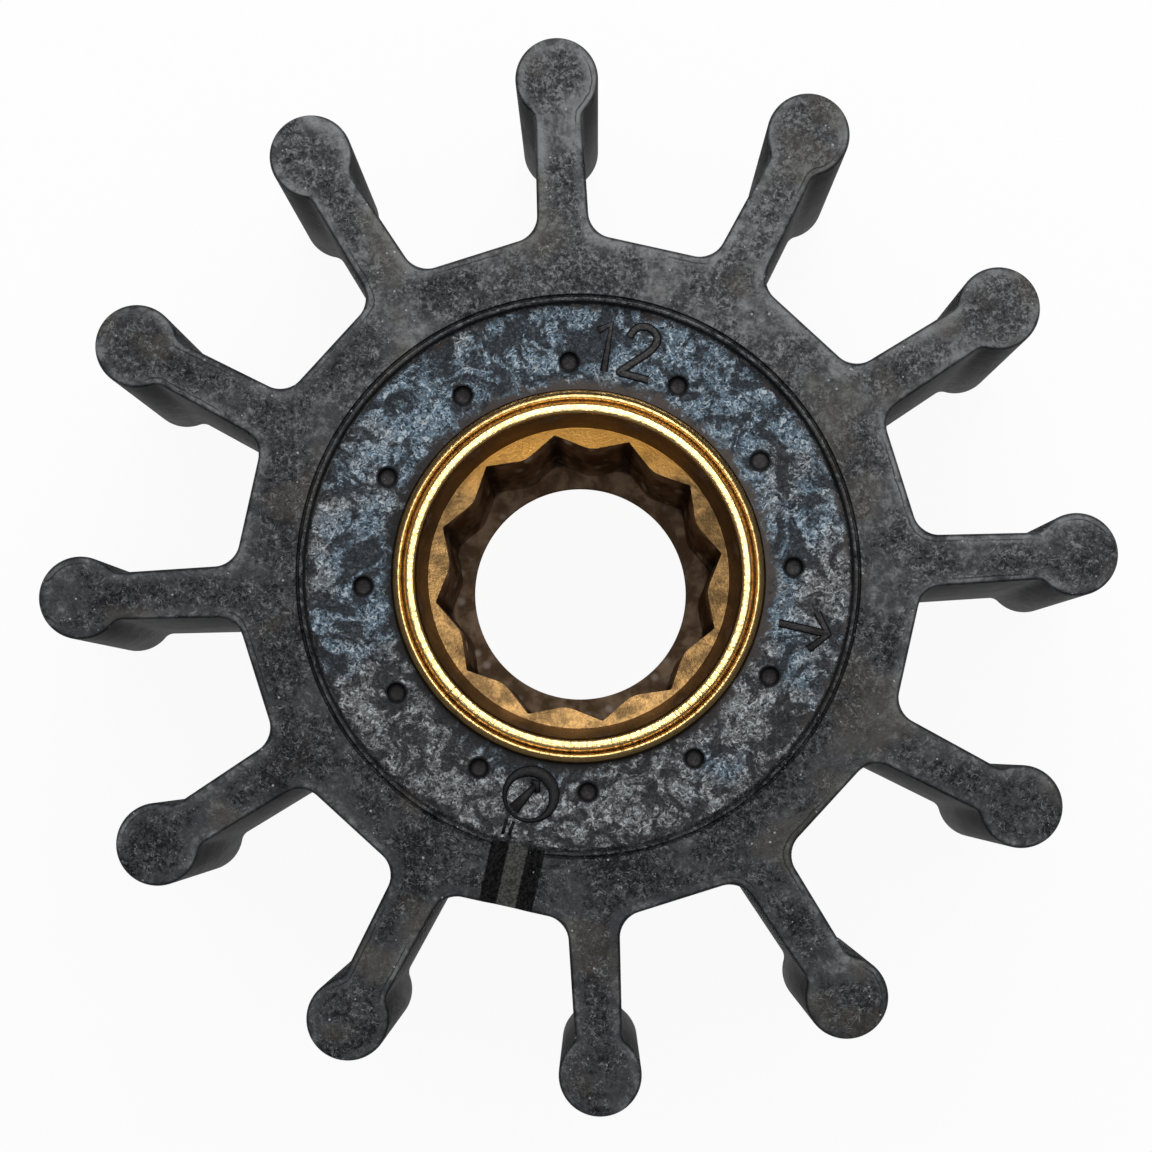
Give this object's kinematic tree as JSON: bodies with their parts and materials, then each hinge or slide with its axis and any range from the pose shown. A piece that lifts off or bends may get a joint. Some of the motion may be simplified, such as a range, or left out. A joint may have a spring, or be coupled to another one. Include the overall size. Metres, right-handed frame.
{
  "type": "rubber pump impeller",
  "caption": "Flexible rubber impeller with radial bulb-tipped vanes, moulded round a splined brass sleeve; it turns in the housing of an engine cooling water pump.",
  "frame": {"origin": "centre of the rear end face, on the axis of rotation; the part stands on that face", "axes": "+Z along the axis of rotation, from the rear face to the front face with the beaded sleeve mouth; +X along the middle of a vane"},
  "size_m": [0.065, 0.065, 0.05],
  "materials": {
    "moulded_rubber": "matt charcoal, with a pale bluish bloom in the recess",
    "turned_brass": "turned, bright on the beads of the mouth and brown in the bore"
  },
  "bodies": {
    "root": {"rubber_body": "moulded_rubber", "brass_sleeve": "turned_brass"}
  },
  "joints": []
}
